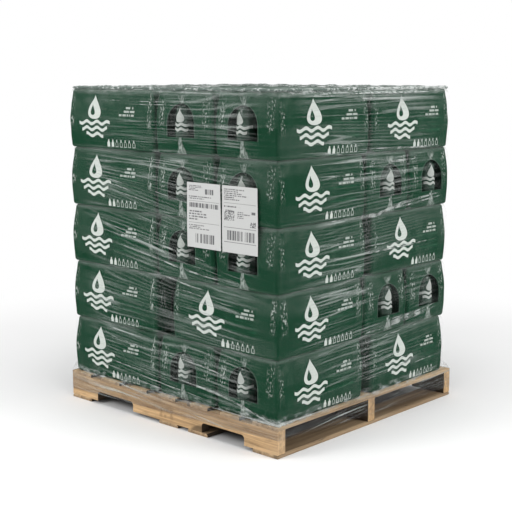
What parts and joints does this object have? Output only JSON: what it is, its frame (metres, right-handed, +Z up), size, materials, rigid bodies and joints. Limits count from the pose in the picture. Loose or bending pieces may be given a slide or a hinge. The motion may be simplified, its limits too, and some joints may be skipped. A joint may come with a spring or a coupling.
{
  "type": "wrapped pallet of bottled water packs",
  "caption": "Wooden stringer pallet with layers of green shrink-film packs of bottled water, held by clear stretch wrap, with two paper shipping labels.",
  "frame": {"origin": "centre of the pallet's foot, on the floor", "axes": "+Z up; X along the stringers, with the load close to the +X end; Y along the deck boards, with the labels on the -Y face"},
  "size_m": [1.0692, 1.0182, 1.1921],
  "materials": {
    "stringer_wood": "rough sawn, weathered",
    "board_wood": "rough sawn, weathered",
    "print_film": "printed shrink film, satin gloss",
    "bottle_green": "clear green bottle with water",
    "cap_plastic": "moulded",
    "clear_wrap": "clear stretch wrap",
    "label_paper": "matt"
  },
  "bodies": {
    "root": {"stringer_near": "stringer_wood", "stringer_middle": "stringer_wood", "stringer_far": "stringer_wood", "top_board_1": "board_wood", "top_board_2": "board_wood", "top_board_3": "board_wood", "top_board_4": "board_wood", "top_board_5": "board_wood", "top_board_6": "board_wood", "top_board_7": "board_wood", "bottom_board_1": "board_wood", "bottom_board_2": "board_wood", "bottom_board_3": "board_wood", "bottom_board_4": "board_wood", "packs_layer_1": "print_film", "packs_layer_2": "print_film", "packs_layer_3": "print_film", "packs_layer_4": "print_film", "packs_layer_5": "print_film", "bottles_layer_1": "bottle_green", "bottles_layer_2": "bottle_green", "bottles_layer_3": "bottle_green", "bottles_layer_4": "bottle_green", "bottles_layer_5": "bottle_green", "caps_layer_1": "cap_plastic", "caps_layer_2": "cap_plastic", "caps_layer_3": "cap_plastic", "caps_layer_4": "cap_plastic", "caps_layer_5": "cap_plastic", "stretch_wrap": "clear_wrap", "shipping_label_left": "label_paper", "shipping_label_right": "label_paper"}
  },
  "joints": []
}
